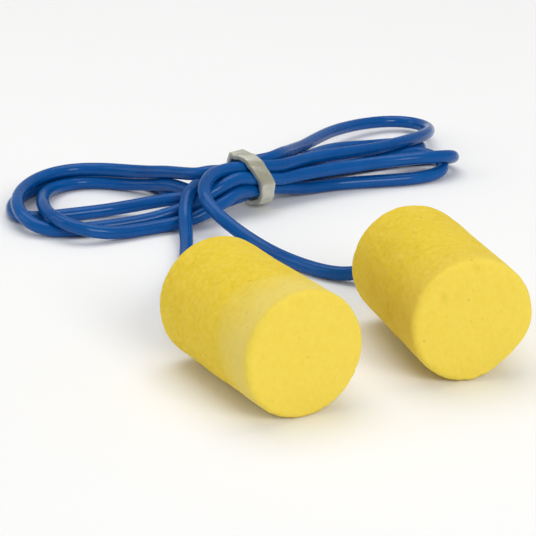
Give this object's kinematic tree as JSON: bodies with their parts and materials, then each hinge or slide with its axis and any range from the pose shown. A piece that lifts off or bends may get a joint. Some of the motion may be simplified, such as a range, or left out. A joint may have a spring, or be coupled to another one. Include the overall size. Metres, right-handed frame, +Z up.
{
  "type": "corded foam ear plugs",
  "caption": "Soft cylindrical foam ear plugs joined by a thin vinyl cord, whose slack is folded into a hank and held by a small elastic band that slides along the bundle.",
  "frame": {"origin": "on the surface the plugs lie on, midway between the two plugs (centre of the box round both plugs)", "axes": "+X to the right as the plugs are seen from their free ends, +Y back towards the hank of cord, +Z up from the resting surface"},
  "size_m": [0.062, 0.105, 0.0135],
  "materials": {
    "foam": "slow-recovery PVC foam, matte, with fine open pores",
    "glue": "cured clear adhesive",
    "cord": "soft vinyl cord, semi-gloss",
    "band": "translucent natural rubber, satin"
  },
  "bodies": {
    "corded_plugs": {"foam_plug_left": "foam", "foam_plug_right": "foam", "glue_bond_left": "glue", "glue_bond_right": "glue", "cord_lead_left": "cord", "cord_lead_right": "cord", "cord_hank": "cord"},
    "sliding_band": {"tie_band": "band"}
  },
  "joints": [
    {"name": "band_slide", "type": "slide", "parent": "corded_plugs", "child": "sliding_band", "axis": [0.766, 0.6428, 0], "range_m": [-0.0015, 0.0015]}
  ]
}
